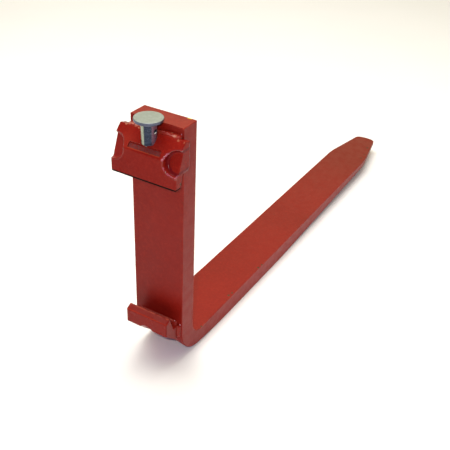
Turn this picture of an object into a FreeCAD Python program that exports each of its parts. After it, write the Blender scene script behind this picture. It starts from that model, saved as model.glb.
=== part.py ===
import FreeCAD, Part
import math
import os

# Fork arm, in mm. The design frame has x across, y = 0 at the shank's back face and z = 0 at the floor.
BAR_WIDTH = 110.0
BAR_THICK = 40.0
BLADE_REACH = 1090.0
HEEL_INNER_R = 31.0
HEEL_OUTER_R = 66.0
HEEL_EASE_R = 1250.0
HEEL_EASE_END = 190.0
HEEL_DISH = 4.0
HEEL_DISH_MARGIN = 3.0
HEEL_DISH_RUN_OUT = 1.1
TAPER_START = 430.0
TIP_THICK = 10.0
TIP_TAPER_LENGTH = 151.0
TIP_HALF_ANGLE = 10.3
TIP_END_R = 70.0
TIP_CORNER_R = 16.0
TIP_SHOULDER_R = 220.0
BAR_EDGE_R = 1.5

# Upper hook. Lip and rises are measured from the throat's ceiling, gaps from the shank's back face.
THROAT_CEILING = 444.0
SHANK_RISE = 72.0
UPPER_WIDTH = 135.0
UPPER_DEPTH = 42.0
UPPER_LIP = 25.0
UPPER_CREASE_RISE = 27.0
UPPER_TOP_RISE = 57.0
UPPER_TOP_SETBACK = 13.0
UPPER_BEVEL_DROP = 4.0
THROAT_GAP_TOP = 20.5
THROAT_GAP_MOUTH = 26.0
THROAT_ROOT_R = 5.0
THROAT_BACK_R = 8.0
CREASE_R = 4.0
LIP_EDGE_R = 2.0
UPPER_TOP_R = 1.5
UPPER_END_R = 2.5

# Round recess at each end of the upper hook. The depth is where its floor passes the ceiling's height.
RECESS_INSET = 4.5
RECESS_RISE = 23.0
RECESS_R = 22.3
RECESS_DRAFT = 8.0
RECESS_DEPTH = 6.0
RECESS_FLOOR_ANGLE = 68.8
RECESS_FOOT_R = 5.0
RECESS_RIM_R = 2.0

# Shallow sunken field on the upper hook's slope.
FIELD_LENGTH = 66.0
FIELD_WIDTH = 10.5
FIELD_DEPTH = 2.0
FIELD_MARGIN = 4.0
FIELD_CORNER_R = 2.0

# Lower hook. Its rises and drops are measured from the groove's floor.
GROOVE_FLOOR = 94.0
GROOVE_WIDTH = 16.5
GROOVE_ROOT_R = 4.0
LOWER_WIDTH = 94.0
LOWER_DEPTH = 42.0
LOWER_FRONT_RISE = 27.0
LOWER_LIP_RISE = 34.0
LOWER_LIP_SETBACK = 13.0
LOWER_FRONT_DROP = 3.0
LOWER_HEEL_DROP = 33.0
LOWER_HEEL_DEPTH = 8.0
LOWER_BEVEL_DROP = 21.0
LOWER_EDGE_R = 2.5
SCALLOP_R = 26.0
SCALLOP_DEPTH = 4.8

# Lock pin, its spring and bush, and the bore that holds them.
PIN_Y = -22.0
SPOTFACE_DROP = 17.0
SPOTFACE_RIM = 0.9
CAVITY_R = 9.0
CAVITY_FLOOR_RISE = 8.0
NOSE_R = 7.5
NOSE_REACH = 10.0
NOSE_CHAMFER = 1.5
NOSE_SLOT_CLEAR = 4.0
COLLAR_LIFT = 0.5
COLLAR_THICK = 3.0
STEM_R = 6.0
SLIDE_GAP = 0.3
BUSH_THICK = 5.0
SLEEVE_LENGTH = 40.0
SLEEVE_BOTTOM_R = 13.5
SLEEVE_SPREAD = 0.6
SLEEVE_FILLET_R = 2.5
HEAD_R = 25.5
HEAD_THICK = 6.0
HEAD_EDGE_R = 1.2
STEM_CAP = 11.0
ROLL_PIN_R = 3.3
ROLL_PIN_WALL = 1.0
ROLL_PIN_SLOT = 1.2
ROLL_PIN_INSET = 3.5
ROLL_PIN_DROP = 17.0
CROSS_HOLE_CHAMFER = 0.9
SPRING_MEAN_R = 7.4
SPRING_WIRE_R = 0.8
SPRING_COILS = 5.0

# Weld beads.
TOP_BEAD_RISE = 2.5
TOP_BEAD_CROWN = 1.5
TOP_BEAD_SHORTFALL = 2.0
SIDE_BEAD_LEG = 7.0
THROAT_BEAD_RISE = 2.0
GROOVE_BEAD_LEG = 8.0
END_BEAD_LEG = 6.0
END_BEAD_DEPTH = 8.0
END_BEAD_DROP = 28.0
HEEL_BEAD_RISE = 4.0
BEAD_END_INSET = 3.0

# Room for cutting tools that run past the part, and a small overlap that is trimmed off again.
CLEAR = 200.0
OVERLAP = 6.0

TIP_Y = BAR_THICK + BLADE_REACH
CENTRE_Y = (TIP_Y + PIN_Y - HEAD_R) / 2.0

SHANK_TOP = THROAT_CEILING + SHANK_RISE
UPPER_BOTTOM = THROAT_CEILING - UPPER_LIP
UPPER_CREASE = THROAT_CEILING + UPPER_CREASE_RISE
UPPER_TOP = THROAT_CEILING + UPPER_TOP_RISE

LOWER_HEEL_Z = GROOVE_FLOOR - LOWER_HEEL_DROP
LOWER_BEVEL_TOP = GROOVE_FLOOR - LOWER_BEVEL_DROP

SPOTFACE_Z = UPPER_TOP - SPOTFACE_DROP
SPOTFACE_R = SLEEVE_BOTTOM_R + SPOTFACE_RIM
CAVITY_FLOOR = THROAT_CEILING + CAVITY_FLOOR_RISE
NOSE_TIP_Z = THROAT_CEILING - NOSE_REACH
COLLAR_R = CAVITY_R - SLIDE_GAP
COLLAR_BOTTOM = CAVITY_FLOOR + COLLAR_LIFT
COLLAR_TOP = COLLAR_BOTTOM + COLLAR_THICK
BUSH_BOTTOM = SPOTFACE_Z - BUSH_THICK
SLEEVE_TOP_R = SLEEVE_BOTTOM_R + SLEEVE_SPREAD
HEAD_BOTTOM = SPOTFACE_Z + SLEEVE_LENGTH
HEAD_TOP = HEAD_BOTTOM + HEAD_THICK
STEM_TOP = HEAD_TOP - STEM_CAP
ROLL_PIN_Z = HEAD_BOTTOM - ROLL_PIN_DROP
ROLL_PIN_LENGTH = 2.0 * (SLEEVE_BOTTOM_R - ROLL_PIN_INSET)


def vec(x, y, z):
    return FreeCAD.Vector(x, y, z)


def tangent(angle):
    """Direction in the side view, from the +y axis up towards +z."""
    return vec(0, math.cos(math.radians(angle)), math.sin(math.radians(angle)))


def prism_x(points, half_width):
    """Solid with a (y, z) outline, reaching half_width to each side of x = 0."""
    corners = [vec(-half_width, y, z) for y, z in points]
    face = Part.Face(Part.makePolygon(corners + corners[:1]))
    return face.extrude(vec(2.0 * half_width, 0, 0))


def prism_z(points, z0, z1):
    """Solid with an (x, y) outline, from height z0 to z1."""
    corners = [vec(x, y, z0) for x, y in points]
    face = Part.Face(Part.makePolygon(corners + corners[:1]))
    return face.extrude(vec(0, 0, z1 - z0))


def pin_cylinder(radius, z0, z1):
    return Part.makeCylinder(radius, z1 - z0, vec(0, PIN_Y, z0))


def turned(points):
    """Solid of revolution about the pin's axis, from (radius, z) points."""
    corners = [vec(r, PIN_Y, z) for r, z in points]
    face = Part.Face(Part.makePolygon(corners + corners[:1]))
    return face.revolve(vec(0, PIN_Y, 0), vec(0, 0, 1), 360)


def mirror_x(shape):
    return shape.mirror(vec(0, 0, 0), vec(1, 0, 0))


def ends_of(edge):
    points = [vertex.Point for vertex in edge.Vertexes]
    return points[0], points[-1]


def same(a, b):
    return abs(a - b) < 0.01


def runs_along_x(edge):
    first, last = ends_of(edge)
    return same(first.y, last.y) and same(first.z, last.z) and not same(first.x, last.x)


def runs_along_z(edge):
    first, last = ends_of(edge)
    return same(first.x, last.x) and same(first.y, last.y) and not same(first.z, last.z)


def crosswise_edges(shape, corners):
    """Edges along x that pass through one of the given (y, z) corners."""
    found = []
    for edge in shape.Edges:
        start = ends_of(edge)[0]
        if runs_along_x(edge) and any(same(start.y, y) and same(start.z, z) for y, z in corners):
            found.append(edge)
    return found


def end_edges(shape, half_width):
    """Edges that outline the two end faces, at x = -half_width and x = half_width."""
    found = []
    for edge in shape.Edges:
        on_end = all(same(abs(point.x), half_width) for point in ends_of(edge))
        if on_end and not runs_along_x(edge):
            found.append(edge)
    return found


def heel_centre_z():
    rise = HEEL_EASE_R - HEEL_OUTER_R
    run = HEEL_EASE_END - HEEL_OUTER_R
    return HEEL_EASE_R - math.sqrt(rise * rise - run * run)


def arm_profile(x):
    """Closed side outline of the bar: shank, heel, level deck and rising underside."""
    ease = vec(x, HEEL_EASE_END, HEEL_EASE_R)
    heel = vec(x, HEEL_OUTER_R, heel_centre_z())
    inner = vec(x, BAR_THICK + HEEL_INNER_R, BAR_THICK + HEEL_INNER_R)
    outward = (heel - ease).normalize()
    meet = ease + outward * HEEL_EASE_R
    heel_mid = heel + (outward + vec(0, -1, 0)).normalize() * HEEL_OUTER_R
    ease_mid = ease + (outward + vec(0, 0, -1)).normalize() * HEEL_EASE_R
    inner_mid = inner + vec(0, -1, -1).normalize() * HEEL_INNER_R

    back_low = vec(x, 0, heel.z)
    back_top = vec(x, 0, SHANK_TOP)
    front_top = vec(x, BAR_THICK, SHANK_TOP)
    front_low = vec(x, BAR_THICK, inner.z)
    deck_start = vec(x, inner.y, BAR_THICK)
    tip_top = vec(x, TIP_Y, BAR_THICK)
    tip_low = vec(x, TIP_Y, BAR_THICK - TIP_THICK)
    taper = vec(x, TAPER_START, 0)
    flat_end = vec(x, HEEL_EASE_END, 0)

    return Part.Wire([
        Part.makeLine(back_low, back_top),
        Part.makeLine(back_top, front_top),
        Part.makeLine(front_top, front_low),
        Part.Arc(front_low, inner_mid, deck_start).toShape(),
        Part.makeLine(deck_start, tip_top),
        Part.makeLine(tip_top, tip_low),
        Part.makeLine(tip_low, taper),
        Part.makeLine(taper, flat_end),
        Part.Arc(flat_end, ease_mid, meet).toShape(),
        Part.Arc(meet, heel_mid, back_low).toShape(),
    ])


def arm_plan():
    """Upright solid with the arm's plan outline: straight sides, then the rounded, tapering tip."""
    half = BAR_WIDTH / 2.0
    taper_start = TIP_Y - TIP_TAPER_LENGTH
    corner_x = half - math.tan(math.radians(TIP_HALF_ANGLE)) * TIP_TAPER_LENGTH
    end_centre = TIP_Y - TIP_END_R
    bottom = -CLEAR
    top = SHANK_TOP + CLEAR
    sides = prism_z([(-half, -CLEAR), (half, -CLEAR), (half, taper_start), (-half, taper_start)], bottom, top)
    wedge = [(-half, taper_start), (half, taper_start), (corner_x, TIP_Y), (-corner_x, TIP_Y)]
    band = [(-half, taper_start), (half, taper_start), (half, end_centre), (-half, end_centre)]
    end_disc = Part.makeCylinder(TIP_END_R, top - bottom, vec(0, end_centre, bottom))
    rounded = prism_z(wedge, bottom, top).common(end_disc.fuse(prism_z(band, bottom, top)))
    plan = sides.fuse(rounded).removeSplitter()
    shoulders = [e for e in plan.Edges if runs_along_z(e) and same(e.Vertexes[0].Y, taper_start)]
    plan = plan.makeFillet(TIP_SHOULDER_R, shoulders)
    corners = [e for e in plan.Edges if runs_along_z(e) and end_centre < e.Vertexes[0].Y < TIP_Y]
    return plan.makeFillet(TIP_CORNER_R, corners)


def heel_dish_tool():
    """Hollow across the outside of the heel, as a bent bar has, which runs out at both ends of the bend."""
    turn = math.sqrt(0.5)
    inset = HEEL_DISH_RUN_OUT * HEEL_DISH / (1.0 - turn)
    y = HEEL_OUTER_R + inset * turn
    axis_z = heel_centre_z() + inset * turn
    rim_z = axis_z - HEEL_OUTER_R - inset
    half = BAR_WIDTH / 2.0 - HEEL_DISH_MARGIN
    rim_left = vec(-half, y, rim_z)
    rim_right = vec(half, y, rim_z)
    low_right = vec(half, y, rim_z - CLEAR)
    low_left = vec(-half, y, rim_z - CLEAR)
    section = Part.Wire([
        Part.Arc(rim_left, vec(0, y, rim_z + HEEL_DISH), rim_right).toShape(),
        Part.makeLine(rim_right, low_right),
        Part.makeLine(low_right, low_left),
        Part.makeLine(low_left, rim_left),
    ])
    return Part.Face(section).revolve(vec(0, y, axis_z), vec(1, 0, 0), -90)


def fork_arm():
    half = BAR_WIDTH / 2.0 + OVERLAP
    bar = Part.Face(arm_profile(-half)).extrude(vec(2.0 * half, 0, 0))
    arm = bar.common(arm_plan()).removeSplitter()
    outline = []
    for edge in arm.Edges:
        at_tip = runs_along_z(edge) and edge.Vertexes[0].Y > BAR_THICK
        if not runs_along_x(edge) and not at_tip:
            outline.append(edge)
    return arm.makeFillet(BAR_EDGE_R, outline).cut(heel_dish_tool())


def upper_profile(x):
    """Side outline of the upper hook: lip and slope in front, throat below, weld bevel at the top."""
    back_centre = vec(x, -THROAT_BACK_R, THROAT_CEILING + THROAT_BACK_R)
    back_mid = back_centre + tangent(-45) * THROAT_BACK_R
    back = vec(x, 0, back_centre.z)
    ceiling = vec(x, back_centre.y, THROAT_CEILING)
    corners = [
        ceiling,
        vec(x, -THROAT_GAP_TOP, THROAT_CEILING),
        vec(x, -THROAT_GAP_MOUTH, UPPER_BOTTOM),
        vec(x, -UPPER_DEPTH, UPPER_BOTTOM),
        vec(x, -UPPER_DEPTH, UPPER_CREASE),
        vec(x, -UPPER_TOP_SETBACK, UPPER_TOP),
        vec(x, 0, UPPER_TOP - UPPER_BEVEL_DROP),
        back,
    ]
    edges = [Part.makeLine(a, b) for a, b in zip(corners, corners[1:])]
    edges.append(Part.Arc(back, back_mid, ceiling).toShape())
    return Part.Wire(edges)


def slope_angle():
    return math.degrees(math.atan2(UPPER_TOP - UPPER_CREASE, UPPER_DEPTH - UPPER_TOP_SETBACK))


def recess_tool():
    """Drafted round pocket at the +x end, with a leaning floor and a rounded foot."""
    depth = UPPER_DEPTH + CLEAR
    spread = math.tan(math.radians(RECESS_DRAFT)) * depth
    base = vec(UPPER_WIDTH / 2.0 - RECESS_INSET, -UPPER_DEPTH - depth / 2.0, THROAT_CEILING + RECESS_RISE)
    cone = Part.makeCone(RECESS_R + spread / 2.0, RECESS_R - spread / 2.0, depth, base, vec(0, 1, 0))
    floor = vec(0, RECESS_DEPTH - UPPER_DEPTH, THROAT_CEILING)
    along = tangent(RECESS_FLOOR_ANGLE)
    low = floor - along * CLEAR
    high = floor + along * CLEAR
    room = prism_x([(low.y, low.z), (high.y, high.z), (low.y - CLEAR, high.z), (low.y - CLEAR, low.z)], CLEAR)
    pocket = cone.common(room)
    normal = along.cross(vec(1, 0, 0))
    foot = []
    for edge in pocket.Edges:
        start_off = (edge.valueAt(edge.FirstParameter) - floor).dot(normal)
        middle_off = (edge.CenterOfMass - floor).dot(normal)
        if same(start_off, 0) and same(middle_off, 0):
            foot.append(edge)
    return pocket.makeFillet(RECESS_FOOT_R, foot)


def field_tool():
    """Flat pocket with rounded corners, laid on the upper hook's slope."""
    corner = vec(-FIELD_LENGTH / 2.0, 0, -FIELD_DEPTH)
    pocket = Part.makeBox(FIELD_LENGTH, FIELD_WIDTH, OVERLAP + FIELD_DEPTH, corner)
    pocket = pocket.makeFillet(FIELD_CORNER_R, [e for e in pocket.Edges if runs_along_z(e)])
    pocket.rotate(vec(0, 0, 0), vec(1, 0, 0), slope_angle())
    start = vec(0, -UPPER_DEPTH, UPPER_CREASE) + tangent(slope_angle()) * FIELD_MARGIN
    pocket.translate(start)
    return pocket


def recess_rims(block):
    """Curved edges of the recesses on the front face. Their rounding runs on up the slope by itself."""
    found = []
    for edge in block.Edges:
        on_front = all(same(point.y, -UPPER_DEPTH) for point in ends_of(edge))
        if on_front and not isinstance(edge.Curve, Part.Line):
            found.append(edge)
    return found


def upper_hook():
    half = UPPER_WIDTH / 2.0
    block = Part.Face(upper_profile(-half)).extrude(vec(UPPER_WIDTH, 0, 0))
    lip = [(-UPPER_DEPTH, UPPER_BOTTOM), (-THROAT_GAP_MOUTH, UPPER_BOTTOM)]
    block = block.makeFillet(THROAT_ROOT_R, crosswise_edges(block, [(-THROAT_GAP_TOP, THROAT_CEILING)]))
    block = block.makeFillet(LIP_EDGE_R, crosswise_edges(block, lip))
    block = block.makeFillet(CREASE_R, crosswise_edges(block, [(-UPPER_DEPTH, UPPER_CREASE)]))
    block = block.makeFillet(UPPER_TOP_R, crosswise_edges(block, [(-UPPER_TOP_SETBACK, UPPER_TOP)]))
    block = block.makeFillet(UPPER_END_R, end_edges(block, half))
    recess = recess_tool()
    block = block.cut([recess, mirror_x(recess)])
    block = block.makeFillet(RECESS_RIM_R, recess_rims(block))
    tools = [
        field_tool(),
        pin_cylinder(SPOTFACE_R, SPOTFACE_Z, SPOTFACE_Z + CLEAR),
        pin_cylinder(CAVITY_R, CAVITY_FLOOR, SPOTFACE_Z + OVERLAP),
        pin_cylinder(NOSE_R + SLIDE_GAP, NOSE_TIP_Z - NOSE_SLOT_CLEAR, CAVITY_FLOOR + OVERLAP),
    ]
    return block.cut(tools)


def scallop_tool():
    """Long shallow scoop along the middle of the lower hook's underside."""
    start = vec(0, -LOWER_DEPTH, GROOVE_FLOOR - LOWER_FRONT_DROP)
    end = vec(0, -LOWER_HEEL_DEPTH, LOWER_HEEL_Z)
    along = (end - start).normalize()
    outward = along.cross(vec(1, 0, 0))
    if outward.z > 0:
        outward = outward * -1
    base = start - along * CLEAR + outward * (SCALLOP_R - SCALLOP_DEPTH)
    return Part.makeCylinder(SCALLOP_R, 2.0 * CLEAR, base, along)


def lower_hook():
    half = LOWER_WIDTH / 2.0
    lip_y = -LOWER_DEPTH + LOWER_LIP_SETBACK
    profile = [
        (0, LOWER_BEVEL_TOP),
        (-LOWER_HEEL_DEPTH, LOWER_HEEL_Z),
        (-LOWER_DEPTH, GROOVE_FLOOR - LOWER_FRONT_DROP),
        (-LOWER_DEPTH, GROOVE_FLOOR + LOWER_FRONT_RISE),
        (lip_y, GROOVE_FLOOR + LOWER_LIP_RISE),
        (-GROOVE_WIDTH, GROOVE_FLOOR),
        (0, GROOVE_FLOOR),
    ]
    block = prism_x(profile, half)
    block = block.makeFillet(GROOVE_ROOT_R, crosswise_edges(block, [(-GROOVE_WIDTH, GROOVE_FLOOR)]))
    block = block.makeFillet(LOWER_EDGE_R, crosswise_edges(block, profile[2:5]))
    block = block.makeFillet(LOWER_EDGE_R, end_edges(block, half))
    return block.cut(scallop_tool())


def upper_top_weld(arm, hook):
    """Bead in the bevel between the upper hook and the shank, stopped short around the lock knob."""
    half = BAR_WIDTH / 2.0 - TOP_BEAD_SHORTFALL
    toe = vec(-half, -UPPER_TOP_SETBACK, UPPER_TOP)
    crest = vec(-half, 0, UPPER_TOP + TOP_BEAD_RISE)
    middle = (toe + crest) * 0.5 + vec(0, 0, TOP_BEAD_CROWN)
    root_front = vec(-half, -UPPER_TOP_SETBACK, UPPER_TOP - OVERLAP)
    root = vec(-half, 0, UPPER_TOP - UPPER_BEVEL_DROP)
    section = Part.Wire([
        Part.Arc(toe, middle, crest).toShape(),
        Part.makeLine(crest, root),
        Part.makeLine(root, root_front),
        Part.makeLine(root_front, toe),
    ])
    bead = Part.Face(section).extrude(vec(2.0 * half, 0, 0))
    return bead.cut([arm, hook, pin_cylinder(SPOTFACE_R, SPOTFACE_Z, SPOTFACE_Z + CLEAR)])


def upper_side_weld(arm, hook):
    """Upright fillet between the shank's side and the back of the upper hook, at the +x end."""
    side = BAR_WIDTH / 2.0
    section = [
        (side - OVERLAP, -OVERLAP),
        (side + SIDE_BEAD_LEG, -OVERLAP),
        (side + SIDE_BEAD_LEG, 0),
        (side, SIDE_BEAD_LEG),
        (side - OVERLAP, SIDE_BEAD_LEG),
    ]
    bottom = THROAT_CEILING + THROAT_BACK_R + BEAD_END_INSET
    top = UPPER_TOP - UPPER_BEVEL_DROP - BEAD_END_INSET
    return prism_z(section, bottom, top).cut([arm, hook])


def upper_throat_weld(hook):
    """Bead that fills the corner between the throat's ceiling and the shank."""
    section = [
        (-THROAT_BACK_R, THROAT_CEILING),
        (0, THROAT_CEILING + THROAT_BEAD_RISE),
        (0, THROAT_CEILING + THROAT_BACK_R),
        (-THROAT_BACK_R, THROAT_CEILING + THROAT_BACK_R),
    ]
    return prism_x(section, BAR_WIDTH / 2.0 - BEAD_END_INSET).cut(hook)


def lower_groove_weld(hook):
    """Fillet along the foot of the lower hook's groove."""
    section = [
        (-GROOVE_BEAD_LEG, GROOVE_FLOOR),
        (0, GROOVE_FLOOR),
        (0, GROOVE_FLOOR + GROOVE_BEAD_LEG),
    ]
    return prism_x(section, LOWER_WIDTH / 2.0 - LOWER_EDGE_R).cut(hook)


def lower_end_weld(arm, hook, heel_bead):
    """Upright fillet at the +x end of the lower hook."""
    end = LOWER_WIDTH / 2.0
    section = [
        (end - OVERLAP, OVERLAP),
        (end - OVERLAP, -END_BEAD_DEPTH),
        (end, -END_BEAD_DEPTH),
        (end + END_BEAD_LEG, 0),
        (end + END_BEAD_LEG, OVERLAP),
    ]
    return prism_z(section, GROOVE_FLOOR - END_BEAD_DROP, GROOVE_FLOOR).cut([arm, hook, heel_bead])


def lower_heel_weld(arm, hook):
    """Bead under the lower hook, against the back of the heel."""
    bottom = LOWER_HEEL_Z - HEEL_BEAD_RISE
    section = [
        (-LOWER_HEEL_DEPTH, LOWER_HEEL_Z),
        (0, bottom),
        (OVERLAP, bottom),
        (OVERLAP, LOWER_BEVEL_TOP),
        (-LOWER_HEEL_DEPTH, LOWER_BEVEL_TOP),
    ]
    return prism_x(section, LOWER_WIDTH / 2.0 - LOWER_EDGE_R).cut([arm, hook])


def cross_hole():
    base = vec(-HEAD_R, PIN_Y, ROLL_PIN_Z)
    return Part.makeCylinder(ROLL_PIN_R, 2.0 * HEAD_R, base, vec(1, 0, 0))


def hole_mouth():
    """Chamfer where the cross hole leaves the sleeve at +x."""
    foot = math.sqrt(SLEEVE_BOTTOM_R ** 2 - ROLL_PIN_R ** 2) - CROSS_HOLE_CHAMFER
    reach = HEAD_R - foot
    return Part.makeCone(ROLL_PIN_R, ROLL_PIN_R + reach, reach, vec(foot, PIN_Y, ROLL_PIN_Z), vec(1, 0, 0))


def lock_knob():
    """Flat round head with a slightly tapered sleeve, bored blind for the stem."""
    knob = turned([
        (STEM_R, SPOTFACE_Z),
        (SLEEVE_BOTTOM_R, SPOTFACE_Z),
        (SLEEVE_TOP_R, HEAD_BOTTOM),
        (HEAD_R, HEAD_BOTTOM),
        (HEAD_R, HEAD_TOP),
        (0, HEAD_TOP),
        (0, STEM_TOP),
        (STEM_R, STEM_TOP),
    ])
    rims = [e for e in knob.Edges if e.Closed and same(e.Curve.Radius, HEAD_R)]
    knob = knob.makeFillet(HEAD_EDGE_R, rims)
    neck = [e for e in knob.Edges if e.Closed and same(e.Curve.Radius, SLEEVE_TOP_R)]
    knob = knob.makeFillet(SLEEVE_FILLET_R, neck)
    mouth = hole_mouth()
    return knob.cut([cross_hole(), mouth, mirror_x(mouth)])


def lock_pin():
    """Stem with the collar that the spring pushes on and the nose that enters the throat."""
    stem = turned([
        (0, NOSE_TIP_Z),
        (NOSE_R - NOSE_CHAMFER, NOSE_TIP_Z),
        (NOSE_R, NOSE_TIP_Z + NOSE_CHAMFER),
        (NOSE_R, COLLAR_BOTTOM),
        (COLLAR_R, COLLAR_BOTTOM),
        (COLLAR_R, COLLAR_TOP),
        (STEM_R, COLLAR_TOP),
        (STEM_R, STEM_TOP),
        (0, STEM_TOP),
    ])
    return stem.cut(cross_hole())


def roll_pin():
    """Slotted spring pin through the sleeve and the stem."""
    half = ROLL_PIN_LENGTH / 2.0
    base = vec(-half, PIN_Y, ROLL_PIN_Z)
    outer = Part.makeCylinder(ROLL_PIN_R, ROLL_PIN_LENGTH, base, vec(1, 0, 0))
    inner = Part.makeCylinder(ROLL_PIN_R - ROLL_PIN_WALL, ROLL_PIN_LENGTH, base, vec(1, 0, 0))
    slot = Part.makeBox(ROLL_PIN_LENGTH, ROLL_PIN_SLOT, ROLL_PIN_R,
                        vec(-half, PIN_Y - ROLL_PIN_SLOT / 2.0, ROLL_PIN_Z))
    return outer.cut([inner, slot])


def guide_bush():
    ring = pin_cylinder(CAVITY_R, BUSH_BOTTOM, SPOTFACE_Z)
    return ring.cut(pin_cylinder(STEM_R + SLIDE_GAP, BUSH_BOTTOM, SPOTFACE_Z))


def lock_spring():
    """Compression spring between the pin's collar and the bush, with its ends ground flat."""
    height = BUSH_BOTTOM - COLLAR_TOP
    helix = Part.makeHelix(height / SPRING_COILS, height, SPRING_MEAN_R)
    section = Part.Wire(Part.makeCircle(SPRING_WIRE_R, vec(SPRING_MEAN_R, 0, 0), vec(0, 1, 0)))
    wire = Part.Wire(helix).makePipeShell([section], True, True)
    wire.translate(vec(0, PIN_Y, COLLAR_TOP))
    return wire.common(pin_cylinder(CAVITY_R, COLLAR_TOP, BUSH_BOTTOM))


def build():
    arm = fork_arm()
    upper = upper_hook()
    lower = lower_hook()
    side_bead = upper_side_weld(arm, upper)
    heel_bead = lower_heel_weld(arm, lower)
    end_bead = lower_end_weld(arm, lower, heel_bead)
    return {
        "fork_arm": arm,
        "upper_hook": upper,
        "lower_hook": lower,
        "upper_top_weld": upper_top_weld(arm, upper),
        "upper_throat_weld": upper_throat_weld(upper),
        "upper_side_weld_right": side_bead,
        "upper_side_weld_left": mirror_x(side_bead),
        "lower_groove_weld": lower_groove_weld(lower),
        "lower_heel_weld": heel_bead,
        "lower_end_weld_right": end_bead,
        "lower_end_weld_left": mirror_x(end_bead),
        "lock_knob": lock_knob(),
        "lock_pin": lock_pin(),
        "roll_pin": roll_pin(),
        "guide_bush": guide_bush(),
        "lock_spring": lock_spring(),
    }


os.makedirs("parts", exist_ok=True)
for name, shape in build().items():
    # The kept frame has its origin at the middle of the part's footprint.
    shape.translate(vec(0, -CENTRE_Y, 0))
    shape.exportStep("parts/" + name + ".step")
    print(name, len(shape.Solids), "solid, valid:", shape.isValid(), "volume:", round(shape.Volume))
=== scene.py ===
import math

import bpy
from mathutils import Matrix, Vector, noise


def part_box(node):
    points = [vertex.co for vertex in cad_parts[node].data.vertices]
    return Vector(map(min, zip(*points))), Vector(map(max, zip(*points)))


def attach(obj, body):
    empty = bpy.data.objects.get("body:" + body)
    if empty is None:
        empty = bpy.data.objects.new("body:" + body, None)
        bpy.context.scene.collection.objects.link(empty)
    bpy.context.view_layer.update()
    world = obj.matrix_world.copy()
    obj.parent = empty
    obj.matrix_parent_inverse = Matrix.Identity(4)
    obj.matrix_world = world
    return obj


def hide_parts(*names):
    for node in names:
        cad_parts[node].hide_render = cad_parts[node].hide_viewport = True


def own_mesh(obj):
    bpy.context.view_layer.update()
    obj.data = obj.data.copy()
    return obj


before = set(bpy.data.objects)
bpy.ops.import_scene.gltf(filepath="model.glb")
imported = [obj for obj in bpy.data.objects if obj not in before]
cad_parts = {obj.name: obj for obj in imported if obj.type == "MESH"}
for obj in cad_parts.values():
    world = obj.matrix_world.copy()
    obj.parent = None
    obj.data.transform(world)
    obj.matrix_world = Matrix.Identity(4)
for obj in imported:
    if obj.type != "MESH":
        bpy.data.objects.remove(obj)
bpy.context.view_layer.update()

MM = 0.001

# Camera: place and reach in metres, direction and roll in degrees, lens in millimetres on a 36 mm sensor.
CAMERA_PLACE = (0.6481, -1.4372, 1.0197)
CAMERA_AZIMUTH = 29.53
CAMERA_ELEVATION = 32.65
CAMERA_ROLL = 2.74
CAMERA_LENS = 57.47
CAMERA_REACH = 50

# Flash beside the lens. Powers are in watts.
FLASH_LEFT = 60 * MM
FLASH_UP = 50 * MM
FLASH_SIZE = 35 * MM
FLASH_POWER = 7.9
FLASH_TINT = (1.0, 0.97, 0.93)
FLASH_AIM = (0.0, -0.35, 0.25)

# Soft panels overhead, each a name, a place in metres and a power.
PANELS = (
    ("overhead_light", (-0.3, 0.3, 3.0), 47),
    ("front_light", (-1.0, -0.4, 2.8), 22),
)
PANEL_SIZE = 2.0
PANEL_TINT = (0.97, 0.985, 1.0)
PANEL_AIM = (0.0, 0.0, 0.0)

# Studio: a wide floor, a pale wall and a ceiling that is brightest high up behind the blade's tip. The
# wall fades out between two heights, given as sines of the elevation.
FLOOR_SIZE = 80.0
FLOOR_DARK = (246, 246, 247)
FLOOR_LIGHT = (249, 249, 250)
WALL_TONE = (0.62, 0.575, 0.465, 1.0)
WALL_TOP = (0.14, 0.22)
BRIGHT_SIDE = (-0.30, 0.60, 0.74)
BRIGHT_REACH = (0.05, 1.0)
BRIGHT_SKY = (1.24, 1.13, 0.70, 1.0)
DIM_SKY = (0.07, 0.07, 0.26, 1.0)

# Places read from the frame.
ARM_LOW, ARM_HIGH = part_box("fork_arm")
UPPER_LOW, UPPER_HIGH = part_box("upper_hook")
LOWER_LOW, LOWER_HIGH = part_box("lower_hook")
TOP_WELD_LOW, TOP_WELD_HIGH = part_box("upper_top_weld")
THROAT_WELD_LOW, THROAT_WELD_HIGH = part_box("upper_throat_weld")
SIDE_WELD_LOW, SIDE_WELD_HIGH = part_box("upper_side_weld_right")
GROOVE_WELD_LOW, GROOVE_WELD_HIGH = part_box("lower_groove_weld")
HEEL_WELD_LOW, HEEL_WELD_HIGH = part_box("lower_heel_weld")
END_WELD_LOW, END_WELD_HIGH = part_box("lower_end_weld_right")
KNOB_LOW, KNOB_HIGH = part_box("lock_knob")
ROLL_PIN_LOW, ROLL_PIN_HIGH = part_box("roll_pin")
SHANK_BACK = ARM_LOW.y
PIN_Y = (KNOB_LOW.y + KNOB_HIGH.y) / 2
KNOB_HOLE_X = ROLL_PIN_HIGH.x + 3.5 * MM
KNOB_HOLE_Z = (ROLL_PIN_LOW.z + ROLL_PIN_HIGH.z) / 2

# Weld beads: ripples, lumps, the toes' wander as shares of their reach, and the taper of a bead's ends.
RIPPLE_PITCH = 3.4 * MM
RIPPLE_HEIGHT = 0.35 * MM
RIPPLE_BOW = 2.6 * MM
RIPPLE_JITTER = 0.35
LUMP_HEIGHT = 0.45 * MM
TOE_WANDER = 0.05
TOE_INSET = 0.07
TOE_SINK = 0.25 * MM
BEAD_END = 5.0 * MM
BEAD_END_WIDTH = 0.72
RING_STEP = 0.45 * MM
POINTS_ACROSS = 14
SLEEVE_ROOM = 15.4 * MM

# Noise waves to a metre of bead: its toes, the jitter of its ripples and its lumps.
TOE_WAVES = 160
JITTER_WAVES = 90
LUMP_WAVES = 220

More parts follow.
